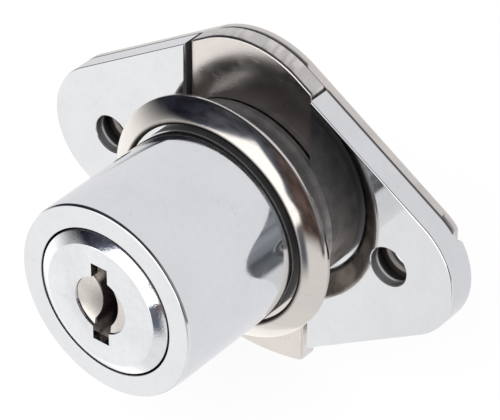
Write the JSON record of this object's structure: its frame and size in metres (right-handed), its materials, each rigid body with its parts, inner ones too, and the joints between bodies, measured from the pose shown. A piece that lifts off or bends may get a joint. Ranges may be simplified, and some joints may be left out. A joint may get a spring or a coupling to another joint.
{
  "type": "desk drawer lock",
  "caption": "Cylinder lock for a desk drawer: a chrome barrel on a lozenge flange with screw wings, a loose trim ring, and a flat bolt that a quarter turn of the plug lifts out of the top.",
  "frame": {"origin": "on the barrel's axis, in the front face of the flange, which lies against the back of the drawer front", "axes": "-Y out of the key side, +Z the way the bolt rises, +X to the right seen from the key side"},
  "size_m": [0.048, 0.0251, 0.0351],
  "materials": {
    "chrome_casting": "polished chrome plate on die-cast zinc",
    "chrome_cap": "polished chrome plate",
    "nickel_ring": "bright nickel plate",
    "nickel_bolt": "bright nickel plate on steel",
    "nickel_plate": "nickel plate on pressed steel",
    "plug_nickel": "nickel plate on die-cast zinc",
    "rivet_steel": "pressed steel",
    "pin_steel": "hardened steel",
    "brass": "stamped brass",
    "spring_steel": "spring wire"
  },
  "bodies": {
    "lock": {"lock_body": "chrome_casting", "back_plate": "nickel_plate", "cover_rivets": "rivet_steel"},
    "plug": {"plug_core": "plug_nickel", "plug_cap": "chrome_cap", "drive_pin": "pin_steel", "retainer_spring": "spring_steel", "wafer_spring_1": "spring_steel", "wafer_spring_2": "spring_steel", "wafer_spring_3": "spring_steel", "wafer_spring_4": "spring_steel", "wafer_spring_5": "spring_steel"},
    "bolt": {"lock_bolt": "nickel_bolt"},
    "retainer": {"plug_retainer": "brass"},
    "ring": {"trim_ring": "nickel_ring"},
    "wafer_1": {"wafer_1": "brass"},
    "wafer_2": {"wafer_2": "brass"},
    "wafer_3": {"wafer_3": "brass"},
    "wafer_4": {"wafer_4": "brass"},
    "wafer_5": {"wafer_5": "brass"}
  },
  "joints": [
    {"name": "plug_turn", "type": "hinge", "parent": "lock", "child": "plug", "pos_m": [0, 0, 0], "axis": [0, 1, 0], "range_deg": [0, 90]},
    {"name": "bolt_throw", "type": "slide", "parent": "lock", "child": "bolt", "axis": [0, 0, 1], "range_m": [0, 0.00622]},
    {"name": "ring_slide", "type": "slide", "parent": "lock", "child": "ring", "axis": [0, -1, 0], "range_m": [0, 0.014]},
    {"name": "retainer_press", "type": "slide", "parent": "plug", "child": "retainer", "axis": [0, 0, -1], "range_m": [0, 0.00085], "stiffness_N_per_m": 200, "springref_m": -0.001, "deforming": ["retainer_spring"]},
    {"name": "wafer_1_slide", "type": "slide", "parent": "plug", "child": "wafer_1", "axis": [0, 0, 1], "range_m": [0, 0.0008], "deforming": ["wafer_spring_1"]},
    {"name": "wafer_2_slide", "type": "slide", "parent": "plug", "child": "wafer_2", "axis": [0, 0, -1], "range_m": [0, 0.0008], "deforming": ["wafer_spring_2"]},
    {"name": "wafer_3_slide", "type": "slide", "parent": "plug", "child": "wafer_3", "axis": [0, 0, 1], "range_m": [0, 0.0008], "deforming": ["wafer_spring_3"]},
    {"name": "wafer_4_slide", "type": "slide", "parent": "plug", "child": "wafer_4", "axis": [0, 0, -1], "range_m": [0, 0.0008], "deforming": ["wafer_spring_4"]},
    {"name": "wafer_5_slide", "type": "slide", "parent": "plug", "child": "wafer_5", "axis": [0, 0, 1], "range_m": [0, 0.0008], "deforming": ["wafer_spring_5"]}
  ],
  "couplings": [
    {"joint": "bolt_throw", "follows": "plug_turn", "m_per_rad": 0.0039614}
  ]
}
